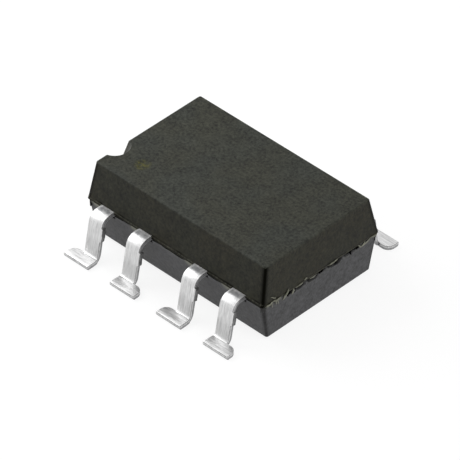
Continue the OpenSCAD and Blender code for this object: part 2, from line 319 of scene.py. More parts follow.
# Places along an end, how far the split is open there, and how far down the hollow under it goes.
END_SPLIT = (
    (-3.2, 0.02, 0.04), (-2.2, 0.03, 0.06), (-1.95, 0.05, 0.12), (-1.80, 0.22, 0.26), (-1.66, 0.20, 0.26),
    (-1.58, 0.08, 0.24), (-1.00, 0.06, 0.26), (-0.80, 0.08, 0.14), (-0.60, 0.06, 0.26), (-0.20, 0.06, 0.30),
    (-0.12, 0.14, 0.17), (0.18, 0.15, 0.18), (0.32, 0.05, 0.10), (0.45, 0.04, 0.20), (0.90, 0.05, 0.36),
    (1.05, 0.04, 0.26), (1.22, 0.03, 0.12), (1.50, 0.10, 0.20), (1.72, 0.22, 0.26), (1.84, 0.12, 0.22),
    (2.14, 0.17, 0.19), (2.26, 0.02, 0.04), (2.44, 0.02, 0.10), (2.70, 0.05, 0.18), (2.80, 0.02, 0.03),
    (3.2, 0.02, 0.03))
# Open gaps along a side: from, to and how high.
SIDE_GAPS = ((-0.62, 0.50, 0.06),)


def span(value, start, end, soft=0.04):
    """1 between start and end, 0 outside, with soft shoulders."""
    return held((value - start + soft) / (2 * soft)) * held((end + soft - value) / (2 * soft))


def add_ribbon(bm, start, end, section, place):
    """Lays a fine strip along a wall.

    section(t) gives (out of the wall, height, paleness of torn resin and painted highlight, darkness of
    painted shade) from the top edge to the bottom edge, and place(t, out, z) puts such a point on its wall.
    """
    count = max(4, round((end - start) / RIBBON_STEP))
    across = len(section(start))
    part = bmesh.new()
    torn_and_highlight = part.verts.layers.float.new("torn_and_highlight")
    painted_shade = part.verts.layers.float.new("painted_shade")
    bmesh.ops.create_grid(part, x_segments=count, y_segments=across - 1, size=1)
    sections = [section(start + (end - start) * i / count) for i in range(count + 1)]
    for v in part.verts:
        i = round((v.co.x + 1) / 2 * count)
        j = round((v.co.y + 1) / 2 * (across - 1))
        out, z, v[torn_and_highlight], v[painted_shade] = sections[i][j]
        v.co = place(start + (end - start) * i / count, out, z)
    bmesh.ops.recalc_face_normals(part, faces=part.faces)
    outward = Vector(place(start, 1, Z_PARTING)) - Vector(place(start, 0, Z_PARTING))
    if sum(face.normal.dot(outward) for face in part.faces) < 0:
        bmesh.ops.reverse_faces(part, faces=part.faces)
    join(bm, part)


def split_at(t):
    """How far the split of an end is open at a place, and how far down its hollow goes."""
    for (t0, open0, hollow0), (t1, open1, hollow1) in zip(END_SPLIT, END_SPLIT[1:]):
        if t <= t1:
            share = max(0, (t - t0) / (t1 - t0))
            return open0 + share * (open1 - open0), hollow0 + share * (hollow1 - hollow0)
    return END_SPLIT[-1][1:]


def upper_lip(seed):
    """The lower edge of the upper half on an end, with a painted shadow line just over it and the split
    under it painted black as shade.
    """
    def section(t):
        waves = 0.03 * rough(t, seed + 5, scale=3.7) + 0.012 * rough(t, seed, scale=19)
        edge = Z_PARTING + 0.005 + waves
        line = held(0.45 + 1.5 * rough(t, seed + 2, scale=2.6))
        proud = 0.014 + 0.012 * rough(t, seed, scale=15)
        return ((-TUCK, edge + 0.19, 0, 0), (0.003, edge + 0.11, 0, 0), (0.004, edge + 0.07, 0, line),
                (0.006, edge + 0.035, 0, 0.3 * line), (proud, edge + 0.01, 0.16, 0),
                (proud, edge - 0.01, 0.1, 0), (-SLIT, edge - 0.03, 0, 1))
    return section


def lower_apron(seed):
    """The broken edge of the lower half on an end: an open split painted black as shade, then a hollow
    under it painted with shade.
    """
    def section(t):
        fine = rough(t, seed, scale=21)
        opening, hollow = split_at(t)
        top = Z_PARTING - 0.02
        low = top - opening * (1 + 0.6 * fine)
        foot = min(low - 0.035, top - hollow * (1 + 0.35 * rough(t, seed + 4, scale=9)))
        deep = min(SLIT, 0.9 * (low - foot - 0.03))
        middle = (low + foot) / 2 + 0.01 * fine
        under = min(foot - 0.04, Z_PARTING - SPLIT_LOW - 0.02)
        return ((-1.1 * SLIT, low - 0.005, 0, 1), (-deep, low, 0, 1),
                (-0.8 * deep, middle, 0, 10 * deep), (-0.2 * deep, foot + 0.02, 0, 7 * deep),
                (0.006, foot - 0.02, 0.1 + 0.2 * fine, 0), (0.003, under, 0, 0),
                (-TUCK, under - 0.03, 0, 0))
    return section


def add_sliver(bm, start, end, width, place, seed):
    """A torn thread of flash between two places on a wall, thick in its middle, closed at its tips."""
    part = bmesh.new()
    torn_and_highlight = part.verts.layers.float.new("torn_and_highlight")
    bmesh.ops.create_grid(part, x_segments=8, y_segments=6, size=1)
    start, end = Vector(start), Vector(end)
    square = (end - start).orthogonal().normalized()
    for v in part.verts:
        share = (v.co.x + 1) / 2
        turn = math.pi * (v.co.y + 1)
        swell = math.sin(math.pi * share) ** 0.6 if 0.01 < share < 0.99 else 0
        thick = SLIVER_ROUND * width * swell * (1 + 0.7 * rough(share * 4, seed))
        bow = swell * (SLIVER_BOW * width + 0.04 * rough(share * 3, seed, 5.0))
        t, z = start.lerp(end, share) + square * (bow + thick * math.cos(turn))
        v[torn_and_highlight] = 0.75 + 0.5 * rough(share * 6, seed)
        v.co = place(t, 0.01 + SLIVER_LIFT * swell + 0.6 * thick * math.sin(turn), Z_PARTING + z)
    bmesh.ops.remove_doubles(part, verts=part.verts, dist=10 * HAIR)
    bmesh.ops.recalc_face_normals(part, faces=part.faces)
    join(bm, part)


def web_shape(t, seed, lead_right):
    """What both edges between two leads share: their waves, the shade beside a lead, and the gap."""
    shade = math.exp(-max(0, t - lead_right) / 0.22)
    gap = sum(span(t, a, b, 0.12) * deep for a, b, deep in SIDE_GAPS)
    return rough(t, seed, scale=2.3), rough(t, seed, scale=13), shade, gap


def web_top(seed, lead_right):
    """The moulded web between two leads, with a painted shadow line where it meets the upper half, a
    painted highlight along its top edge, and painted shade beside a lead and in the gap.
    """
    def section(t):
        wobble, fine, shade, gap = web_shape(t, seed, lead_right)
        proud = WEB_PROUD * 0.6 + 0.006 * fine
        z = Z_PARTING + 0.015 * wobble
        line = 0.55 + 0.9 * rough(t, seed + 4, scale=1.9)
        return ((-0.05, z + 0.24, 0, 0), (0.002, z + 0.18, 0, 0.4 * line), (0.003, z + 0.12, 0, line),
                (proud, z + 0.10, 0.12 + 0.4 * fine, 0),
                (proud, z + 0.04, 0, 0.3 + 0.4 * shade + 4 * gap),
                (proud, z + 0.01 + 0.6 * gap, 0, 0.4 + 0.8 * shade + 8 * gap),
                (-SLIT, z + gap, 0, 1))
    return section


def web_lip(seed, lead_right, lead_left):
    """The edge of the lower half between two leads, raised a little just before the next lead, with a
    painted highlight on its lip that is strongest there and fades in the painted shade beside a lead, and
    the split above it painted black as shade.
    """
    def section(t):
        wobble, fine, shade, gap = web_shape(t, seed, lead_right)
        near_lead = span(t, lead_left - 0.5 + 0.2 * wobble, lead_left + 1, 0.1)
        low = Z_PARTING - 0.085 - 0.03 * wobble - 0.6 * gap - 0.03 * shade + 0.02 * near_lead
        light = held(0.1 + 0.4 * fine + 0.9 * near_lead - shade)
        under = Z_PARTING - SPLIT_LOW - 0.02
        return ((-SLIT, low - 0.02, 0, 1), (0.004, low, light, 0), (0.012, low - 0.015, light, 0),
                (0.006, low - 0.055, 0.6 * light * near_lead, 0), (0.003, under, 0, 0),
                (-TUCK, under - 0.03, 0, 0))
    return section


def round_back(beyond):
    """How far the wall has turned back where a place is beyond the start of a corner's round."""
    share = max(0, beyond) / CORNER
    return CORNER * (1 - math.sqrt(max(0, 1 - share * share)))


def end_place(way):
    """Puts strip places on the +X or -X end."""
    def place(t, out, z):
        half_x, half_y = half_sizes(z)
        return (way * (half_x + out - round_back(abs(t) - (half_y - CORNER))), t, z)
    return place


def side_place(way):
    """Puts strip places on the +Y or -Y side."""
    def place(t, out, z):
        half_x, half_y = half_sizes(z)
        return (t, way * (half_y + out - round_back(abs(t) - (half_x - CORNER))), z)
    return place


def add_flash(bm):
    """The split and its slivers on both ends, and the webs between the leads on both sides."""
    reach = HALF_Y - 0.01
    for way, seed in END_SEEDS:
        for section in (upper_lip(seed), lower_apron(seed)):
            add_ribbon(bm, -reach, reach, section, end_place(way))
        for k, (start, end, width) in enumerate(END_SLIVERS):
            add_sliver(bm, start, end, width, end_place(way), seed + k * 1.3)
    stems = sorted(foot_x(col) + stem_side(col) * STEM_SHIFT for col in range(ROW))
    rights = [-HALF_X - 1] + [x + STEM_W / 2 for x in stems]
    lefts = [x - STEM_W / 2 for x in stems] + [HALF_X + 1]
    for way in (-1, 1):
        for k, (right, left) in enumerate(zip(rights, lefts)):
            start, end = max(right - 0.02, -HALF_X + 0.01), min(left + 0.02, HALF_X - 0.01)
            seed = 3.3 * k + way
            for section in (web_top(seed, right), web_lip(seed, right, left)):
                add_ribbon(bm, start, end, section, side_place(way))


# ---------- Leads ----------

def stem_side(col):
    """Which way a column's stem stands off its foot: towards the other lead of the pair."""
    return 1 if col % 2 == 0 else -1


def foot_x(col):
    """The middle of a column's foot along the casing."""
    return (col - (ROW - 1) / 2) * PITCH + FRAME_SHIFT


class FormedStrip:
    """Where a point of the flat lead strip goes once its two bends are formed.

    s runs along the strip's middle from inside the casing to the tip, w is the height over it.
    Places are (distance out from the casing's middle, height). The shoulder's bend runs from s1
    to s2, the heel's from s3 to s4, and the tip is at s5.
    """

    def __init__(self):
        """Works out the bends from the shoulder, which the frame fixes, down to the foot."""
        self.turn = math.pi / 2 - LEAN
        self.start_u = HALF_Y - LEAD_OVERLAP
        self.shoulder_r = SHOULDER_R + LEAD_T / 2
        bend_u = HALF_Y + SHOULDER_REACH - (SHOULDER_R + LEAD_T) * math.tan(self.turn / 2)
        self.shoulder = Vector((bend_u, Z_PARTING - self.shoulder_r))
        self.out = Vector((math.cos(LEAN), math.sin(LEAN)))
        self.down = Vector((math.sin(LEAN), -math.cos(LEAN)))
        self.stem_top = self.shoulder + self.shoulder_r * self.out
        self.s1 = bend_u - self.start_u
        self.s2 = self.s1 + self.shoulder_r * self.turn
        self.corner_s = self.s2 + (self.stem_top.y - LEAD_T / 2) / math.cos(LEAN)
        self.corner_u = self.stem_top.x + (self.corner_s - self.s2) * self.down.x
        self.s5 = self.corner_s + TIP_U - self.corner_u
        ends = [self.heel(w)[2:] for w in (-LEAD_T / 2, LEAD_T / 2)]
        self.s3, self.s4 = min(s for s, _ in ends), max(s for _, s in ends)

    def heel(self, w):
        """The lower bend of the layer at w: its sharp corner, radius, and first and last s."""
        radius = FOOT_R + (HEEL_R - FOOT_R) * (0.5 - w / LEAD_T)
        reach = radius * math.tan(self.turn / 2)
        along = (self.stem_top.y + w * self.out.y - LEAD_T / 2 - w) / math.cos(LEAN)
        corner_u = self.stem_top.x + w * self.out.x + along * self.down.x
        first = self.s2 + along - reach
        return corner_u, radius, first, self.corner_s + corner_u + reach - self.corner_u

    def place(self, s, w):
        """The formed place of a point of the flat strip."""
        if s <= self.s1:
            return Vector((self.start_u + s, Z_PARTING + w))
        if s <= self.s2:
            turned = (s - self.s1) / self.shoulder_r
            return self.shoulder + (self.shoulder_r + w) * Vector((math.sin(turned), math.cos(turned)))
        corner_u, radius, first, last = self.heel(w)
        if s <= first:
            return self.stem_top + (s - self.s2) * self.down + w * self.out
        if s >= last:
            return Vector((self.flat_u(s), LEAD_T / 2 + w))
        turned = math.pi + LEAN + self.turn * (s - first) / (last - first)
        centre = Vector((corner_u + radius * math.tan(self.turn / 2), LEAD_T / 2 + w + radius))
        return centre + radius * Vector((math.cos(turned), math.sin(turned)))

    def flat_u(self, s):
        """Distance out of a place on the flat foot."""
        return self.corner_u + s - self.corner_s

    def at_height(self, z):
        """The s of a height on the straight stem."""
        return self.s2 + (self.stem_top.y - z) / math.cos(LEAN)

    def at_reach(self, u):
        """The s of a distance out on the flat foot."""
        return self.corner_s + u - self.corner_u

    def stations(self):
        """Places along the strip where it needs an edge across, close together in the bends."""
        yield from (self.s1 + (self.s2 - self.s1) * k / SHOULDER_CUTS for k in range(SHOULDER_CUTS + 1))
        yield from (self.s2 + (self.s3 - self.s2) * k / STEM_CUTS for k in range(1, STEM_CUTS))
        yield from (self.s3 + (self.s4 - self.s3) * k / HEEL_CUTS for k in range(HEEL_CUTS + 1))
        yield (self.s4 + self.s5) / 2


def corner_arc(centre, radius, start, end, steps=8):
    """Points round an arc, both ends included."""
    return [centre + radius * Vector((math.cos(a), math.sin(a)))
            for a in (start + (end - start) * k / steps for k in range(steps + 1))]


def strip_outline(strip, side, seed):
    """The flat strip's outline in (x, s) about the foot's middle, for a stem to the +x side.

    The stub of the trimmed tie bar is on the strip's +X edge in the frame, whichever the side.
    """
    inner = STEM_SHIFT - STEM_W / 2
    outer = STEM_SHIFT + STEM_W / 2
    back = strip.at_reach(TIP_U - FOOT_LENGTH)
    half_foot = FOOT_W / 2
    points = [Vector((inner, 0)), Vector((outer, 0))]
    if side > 0:
        points += torn_stub(strip, outer, 1, seed)
    points += [Vector((outer, back - FLARE_START)), Vector((half_foot, back + FLARE_END)),
               Vector((half_foot, strip.s5)), Vector((-half_foot, strip.s5))]
    centre = Vector((-half_foot + FOOT_CORNER, back + FOOT_CORNER))
    points += corner_arc(centre, FOOT_CORNER, math.pi, 1.5 * math.pi)
    points += [Vector((inner, back))]
    if side < 0:
        points += reversed(torn_stub(strip, inner, -1, seed))
    return [Vector((side * p.x, p.y)) for p in points]


def torn_stub(strip, edge, way, seed):
    """The trimmed end of the tie bar: a low step with a ragged side, from its top downwards."""
    top, bottom = strip.at_height(STUB_HEIGHT + STUB_LENGTH), strip.at_height(STUB_HEIGHT)
    ragged = [Vector((edge + way * (STUB + STUB_RAGGED * rough(k * 1.37, seed)),
                      top + (bottom - top) * (k + 0.3) / (STUB_TEETH - 0.4))) for k in range(STUB_TEETH)]
    return [Vector((edge, top)), *ragged, Vector((edge, bottom))]


def round_rims(part, edges, width, segments):
    """Rounds edges of a strip."""
    bmesh.ops.bevel(part, geom=edges, offset=width, segments=segments, profile=0.5,
                    affect="EDGES", material=-1, clamp_overlap=True)


def flat_strip(strip, side, seed):
    """A lead as stamped and flat, with its rims rounded and cut across where it will bend."""
    part = bmesh.new()
    verts = [part.verts.new((p.x, p.y, -LEAD_T / 2)) for p in strip_outline(strip, side, seed)]
    grown = bmesh.ops.extrude_face_region(part, geom=[part.faces.new(verts)], use_keep_orig=True)
    top = [g for g in grown["geom"] if isinstance(g, bmesh.types.BMVert)]
    bmesh.ops.translate(part, vec=(0, 0, LEAD_T), verts=top)
    bmesh.ops.recalc_face_normals(part, faces=part.faces)
    for face in part.faces:
        face.material_index = 1 if abs(face.normal.z) < 0.5 else 0
    tip_rim = [e for e in part.edges
               if all(v.co.y > strip.s5 - 10 * HAIR and v.co.z < 0 for v in e.verts)]
    round_rims(part, tip_rim, TIP_ROLLOVER, 4)
    rims = [e for e in part.edges
            if e.calc_face_angle(0) > 1.0 and abs(e.verts[0].co.z - e.verts[1].co.z) < HAIR]
    round_rims(part, rims, RIM_ROUND, 2)
    stem_edges = [side * STEM_SHIFT + way * (STEM_W / 2 + FLANGE_BLEND) for way in (-1, 1)]
    cuts = [((0, s, 0), (0, 1, 0)) for s in strip.stations()]
    cuts += [((x, 0, 0), (1, 0, 0)) for x in stem_edges]
    for point, normal in cuts:
        bmesh.ops.bisect_plane(part, geom=part.verts[:] + part.edges[:] + part.faces[:],
                               dist=HAIR, plane_co=point, plane_no=normal)
    return part


def mark_strip(part, strip, side, seed):
    """Writes what the lead's materials read: the place on the strip, the depth and the stub."""
    uv = part.loops.layers.uv.new("strip")
    across = part.verts.layers.float.new("across")
    number = part.verts.layers.float.new("number")
    depth = part.verts.layers.float.new("depth")
    torn_and_highlight = part.verts.layers.float.new("torn_and_highlight")
    for v in part.verts:
        beside = abs(v.co.x - side * STEM_SHIFT) - STEM_W / 2
        v[depth] = 0.5 - v.co.z / LEAD_T
        v[torn_and_highlight] = 1 if beside > RIM_ROUND and v.co.y < strip.s3 else 0
        foot = held((v.co.y - strip.s3) / (strip.corner_s - strip.s3))
        shoulder = span(v.co.y, strip.s1, strip.s2 - 0.1, 0.08)
        v[across] = max(foot, 0.6 * shoulder)
        v[number] = seed
    for face in part.faces:
        for loop in face.loops:
            loop[uv].uv = (side * loop.vert.co.x - STEM_SHIFT, loop.vert.co.y)


def formed_lead(bm, strip, col, front):
    """Adds the outside part of a lead: the flat strip, given its bends and put in its row."""
    side = stem_side(col)
    seed = col + (0 if front else ROW) + 0.5
    part = flat_strip(strip, side, seed)
    mark_strip(part, strip, side, seed)
    flip = -1 if front else 1
    flange = strip.at_reach(TIP_U - FOOT_LENGTH) - FLANGE_MARGIN
    for v in part.verts:
        s, w = v.co.y, v.co.z
        u, z = strip.place(s, w)
        beside = abs(v.co.x - side * STEM_SHIFT) - STEM_W / 2
        if beside > FLANGE_BLEND / 2 and s > flange:
            u, z = strip.flat_u(s), LEAD_T / 2 + w
        v.co = (foot_x(col) + v.co.x, flip * u, z)
    bmesh.ops.recalc_face_normals(part, faces=part.faces)
    join(bm, part)


def inner_lead(bm, number, front):
    """Adds the part of a lead in the casing, copied from its frame node and cut at the wall."""
    part = bmesh.new()
    part.from_mesh(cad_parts[f"lead_{number}"].data)
    bmesh.ops.scale(part, vec=(1 / MM, 1 / MM, 1 / MM), verts=part.verts)
    bmesh.ops.remove_doubles(part, verts=part.verts, dist=10 * HAIR)
    flip = -1 if front else 1
    cut = bmesh.ops.bisect_plane(part, geom=part.verts[:] + part.edges[:] + part.faces[:],
                                 dist=HAIR, plane_co=(0, flip * (HALF_Y - INNER_CUT), 0),
                                 plane_no=(0, flip, 0), clear_outer=True)
    edges = [g for g in cut["geom_cut"] if isinstance(g, bmesh.types.BMEdge)]
    bmesh.ops.holes_fill(part, edges=edges)
    for layer in list(part.loops.layers.uv.values()):
        part.loops.layers.uv.remove(layer)
    join(bm, part)


def make_leads(strip, materials):
    """Leads 1 to 4 along the front row, and 5 to 8 back along the other."""
    for number in range(1, 2 * ROW + 1):
        front = number <= ROW
        col = number - 1 if front else 2 * ROW - number
        bm = bmesh.new()
        formed_lead(bm, strip, col, front)
        inner_lead(bm, number, front)
        finish_piece(bm, f"formed_lead_{number}", materials, f"lead_{number}")


# ---------- Materials ----------

# Colours are linear. The resin's two tones each blend in slow patches. The top's lighter olive and the
# walls' darker brown are partly the resin's own tones and partly painted light: a lit top and shaded walls.
LIT_OLIVE_TOP = ((0.0295, 0.0304, 0.0225), (0.0285, 0.0308, 0.0250))
SHADED_BROWN_WALLS = ((0.0185, 0.0175, 0.0110), (0.0170, 0.0172, 0.0115))
GREY_LOWER_HALF = (0.042, 0.042, 0.044)
# Pale torn resin, and also the painted highlight on the edges of the webs and lips.
TORN_RESIN_AND_HIGHLIGHT = (0.22, 0.22, 0.17)
YELLOWED_DOT = (0.056, 0.054, 0.012)
# The near black of painted shade: splits, gaps, hollows, shadow lines and the upright corners.
PAINTED_SHADE_BLACK = (0.003, 0.003, 0.002)
LOWER_SHEEN = 0.25       # the coat of the smoother lower half and of the notch's wall

# The darker tin is for the real dark specks and for the painted reflection of the casing on the leads'
# tops.
PLATED_TIN, SPECKS_AND_CASING_REFLECTION = (0.62, 0.62, 0.62), (0.22, 0.225, 0.24)
STEM_STREAKS, CROSS_STREAKS = (20, 1.3), (1.6, 18)   # fineness across and along the strip
BURNISHED_CUT, BROKEN_CUT = (0.52, 0.52, 0.52), (0.33, 0.33, 0.335)
# The rolled rim's near black is a painted dark reflection; the torn stub's dark grey is its own.
ROLLED_RIM_DARK_REFLECTION, TORN_STUB = (0.07, 0.07, 0.07), (0.16, 0.16, 0.16)

EMITTER_FACE, EMITTER_METAL = (0.10, 0.05, 0.045), (0.8, 0.62, 0.3)
DETECTOR_FACE, DETECTOR_METAL = (0.05, 0.06, 0.09), (0.6, 0.6, 0.62)
SILVER_ADHESIVE, GOLD, SILICONE = (0.55, 0.54, 0.52), (0.95, 0.68, 0.28), (0.9, 0.9, 0.86)
WHITE, TABLE_WHITE = (1, 1, 1), (0.92, 0.92, 0.92)


def add(tree, kind, inputs=None, **settings):
    """A shader node with its settings, and its inputs as values or as other nodes' outputs."""
    node = tree.nodes.new("ShaderNode" + kind)
    for key, value in settings.items():
        setattr(node, key, value)
    for key, value in (inputs or {}).items():
        if isinstance(value, bpy.types.NodeSocket):
            tree.links.new(value, node.inputs[key])
        else:
            node.inputs[key].default_value = value
    return node


def calc(tree, operation, a, b=0.0, clamp=False):
    """Arithmetic on two values."""
    return add(tree, "Math", {0: a, 1: b}, operation=operation, use_clamp=clamp).outputs[0]


def blend(tree, factor, a, b, blend_type="MIX"):
    """Two colours, mixed or multiplied."""
    node = add(tree, "Mix", {0: factor, 6: a, 7: b}, data_type="RGBA", blend_type=blend_type)
    return node.outputs[2]


def remap(tree, value, low, high, to_low=0.0, to_high=1.0):
    """Takes a value's range to another, held at both ends."""
    inputs = {"Value": value, "From Min": low, "From Max": high, "To Min": to_low, "To Max": to_high}
    return add(tree, "MapRange", inputs).outputs["Result"]


def noise_value(tree, place, scale, detail=2.0, roughness=0.5):
    """Cloudy unevenness between 0 and 1."""
    inputs = {"Vector": place, "Scale": scale, "Detail": detail, "Roughness": roughness}
    return add(tree, "TexNoise", inputs).outputs["Fac"]


def tone(rgb):
    """A colour as a shader socket takes it."""
    return (*rgb, 1.0)


def in_millimetres(tree):
    """The object's own coordinates, in millimetres."""
    place = add(tree, "TexCoord").outputs["Object"]
    return add(tree, "Mapping", {"Vector": place, "Scale": (1 / MM, 1 / MM, 1 / MM)}).outputs[0]


def new_group(name, inputs, outputs):
    """An empty node group with its sockets; returns the tree and its two end nodes."""
    tree = bpy.data.node_groups.new(name, "ShaderNodeTree")
    for way, sockets in (("INPUT", inputs), ("OUTPUT", outputs)):
        for label, kind in sockets.items():
            tree.interface.new_socket(label, in_out=way, socket_type="NodeSocket" + kind)
    return tree, tree.nodes.new("NodeGroupInput"), tree.nodes.new("NodeGroupOutput")


def use_group(tree, group, inputs):
    """Places a node group and returns its outputs."""
    return add(tree, "Group", inputs, node_tree=group).outputs


def grain_group():
    """Fine mottling: a lightness around 1, as strong as its contrast, and a height."""
    tree, start, end = new_group("grain", {"Place": "Vector", "Fineness": "Float", "Contrast": "Float"},
                                 {"Lightness": "Float", "Height": "Float"})
    place = start.outputs["Place"]
    fine = noise_value(tree, place, start.outputs["Fineness"], 3, 0.7)
    patches = noise_value(tree, place, 2.6, 3, 0.6)
    total = calc(tree, "ADD", fine, calc(tree, "MULTIPLY", patches, 0.4))
    swing = calc(tree, "MULTIPLY", calc(tree, "SUBTRACT", total, 0.7), start.outputs["Contrast"])
    tree.links.new(calc(tree, "ADD", swing, 1.0), end.inputs["Lightness"])
    tree.links.new(fine, end.inputs["Height"])
    return tree


def streak_group():
    """Fine lines along one direction of a surface: place is stretched before it comes in."""
    tree, start, end = new_group("rolling_streaks", {"Place": "Vector"},
                                 {"Lightness": "Float", "Height": "Float"})
    place = start.outputs["Place"]
    coarse = noise_value(tree, place, 1.0, 2)
    fine = noise_value(tree, place, 3.1, 2)
    total = calc(tree, "ADD", calc(tree, "MULTIPLY", coarse, 0.6), calc(tree, "MULTIPLY", fine, 0.4))
    tree.links.new(calc(tree, "ADD", calc(tree, "MULTIPLY", total, 1.5), 0.25), end.inputs["Lightness"])
    tree.links.new(total, end.inputs["Height"])
    return tree


def new_material(name, **constants):
    """A material with a Principled shader whose named inputs get plain values."""
    material = bpy.data.materials.new(name)
    material.use_nodes = True
    shader = material.node_tree.nodes["Principled BSDF"]
    for label, value in constants.items():
        shader.inputs[label.replace("_", " ")].default_value = value
    return material, material.node_tree, shader


def bump(tree, shader, height, strength, distance):
    """Fine relief, its depth in millimetres."""
    node = add(tree, "Bump", {"Height": height, "Strength": strength, "Distance": distance * MM})
    tree.links.new(node.outputs["Normal"], shader.inputs["Normal"])


def attribute(tree, name):
    """A value written on the mesh."""
    return add(tree, "Attribute", attribute_name=name).outputs["Fac"]


def near(tree, place, centre, inner, outer):
    """1 inside a circle about an upright axis, 0 outside, fading between the two radii."""
    offset = add(tree, "Mapping", {"Vector": place, "Location": (-centre[0], -centre[1], 0),
                                   "Scale": (1, 1, 0)}).outputs[0]
    away = add(tree, "VectorMath", {0: offset}, operation="LENGTH").outputs["Value"]
    return remap(tree, away, inner, outer, 1.0, 0.0)


def moulding_compound(grain):
    """Black filled resin: olive and dull above the parting line, smoother and neutral below, with a lighter
    top and darker walls partly as painted light, and painted shade in its crevices and on its upright
    corners.
    """
    material, tree, shader = new_material("moulding_compound", Specular_IOR_Level=0.15, Coat_Roughness=0.4)
    place = in_millimetres(tree)
    texture = use_group(tree, grain, {"Place": place, "Fineness": 8.0, "Contrast": 3.4})
    height = add(tree, "SeparateXYZ", {0: place}).outputs["Z"]
    upper = remap(tree, height, Z_PARTING - 0.06, Z_PARTING - 0.04)
    hue = remap(tree, noise_value(tree, place, 0.5, 1), 0.4, 0.62)
    olive = blend(tree, hue, *map(tone, LIT_OLIVE_TOP))
    brown = blend(tree, hue, *map(tone, SHADED_BROWN_WALLS))
    dot = near(tree, place, DOT_XY, DOT_RADIUS * 0.7, DOT_RADIUS * 1.25)
    speckle = remap(tree, noise_value(tree, place, 5.5, 3, 0.7), 0.42, 0.6, 0.15, 0.9)
    olive = blend(tree, calc(tree, "MULTIPLY", dot, speckle), olive, tone(YELLOWED_DOT))
    # Painted light: the top gets the lighter olive and the walls the darker brown, partly the resin's own
    # tones and partly a lit top and shaded walls.
    lit_top_shaded_walls = blend(tree, remap(tree, height, Z_TOP - 0.08, Z_TOP - 0.02), brown, olive)
    colour = blend(tree, upper, tone(GREY_LOWER_HALF), lit_top_shaded_walls)
    colour = blend(tree, 1.0, colour, texture["Lightness"], "MULTIPLY")
    # Pale torn resin on the flash, and a painted highlight on the edges of the webs and lips.
    colour = blend(tree, attribute(tree, "torn_and_highlight"), colour, tone(TORN_RESIN_AND_HIGHLIGHT))
    # Painted shade: the upright corners and the marked splits, gaps, hollows and shadow lines go near
    # black, and as black metal they lose their sheen.
    corner = calc(tree, "MULTIPLY", attribute(tree, "corner"), remap(tree, upper, 0, 1, 0.6, 1.0))
    dark = calc(tree, "MAXIMUM", attribute(tree, "painted_shade"), corner, clamp=True)
    colour = blend(tree, dark, colour, tone(PAINTED_SHADE_BLACK))
    tree.links.new(colour, shader.inputs["Base Color"])
    tree.links.new(dark, shader.inputs["Metallic"])
    below = calc(tree, "MULTIPLY", calc(tree, "SUBTRACT", 1.0, upper), calc(tree, "SUBTRACT", 1.0, dark))
    notch = calc(tree, "MULTIPLY", near(tree, place, NOTCH_XY, NOTCH_RADIUS, NOTCH_RADIUS + 0.03),
                 remap(tree, height, Z_TOP - 0.07, Z_TOP - 0.03, 1.0, 0.0))
    smooth = calc(tree, "MAXIMUM", below, notch)
    tree.links.new(calc(tree, "MULTIPLY", smooth, LOWER_SHEEN), shader.inputs["Coat Weight"])
    tree.links.new(remap(tree, texture["Height"], 0.3, 0.7, 0.45, 0.58), shader.inputs["Roughness"])
    bump(tree, shader, texture["Height"], 0.5, 0.03)
    return material


def window(tree, value, low, high, soft):
    """1 between low and high, with soft sides."""
    rise = remap(tree, value, low - soft, low + soft)
    fall = remap(tree, value, high - soft, high + soft, 1.0, 0.0)
    return calc(tree, "MULTIPLY", rise, fall)


def strip_streaks(tree, streaks, flat, number):
    """Streaks along the stem, and across it in the bends and on the foot."""
    turned = attribute(tree, "across")
    sides = add(tree, "SeparateXYZ", {0: flat}).outputs
    results = []
    for fine_x, fine_s in (STEM_STREAKS, CROSS_STREAKS):
        place = add(tree, "CombineXYZ", {0: calc(tree, "MULTIPLY", sides["X"], fine_x),
                                         1: calc(tree, "MULTIPLY", sides["Y"], fine_s),
                                         2: calc(tree, "MULTIPLY", number, 3.7)}).outputs[0]
        results.append(use_group(tree, streaks, {"Place": place}))
    first, second = results
    light = add(tree, "Mix", {0: turned, 2: first["Lightness"], 3: second["Lightness"]}).outputs[0]
    height = add(tree, "Mix", {0: turned, 2: first["Height"], 3: second["Height"]}).outputs[0]
    return light, height


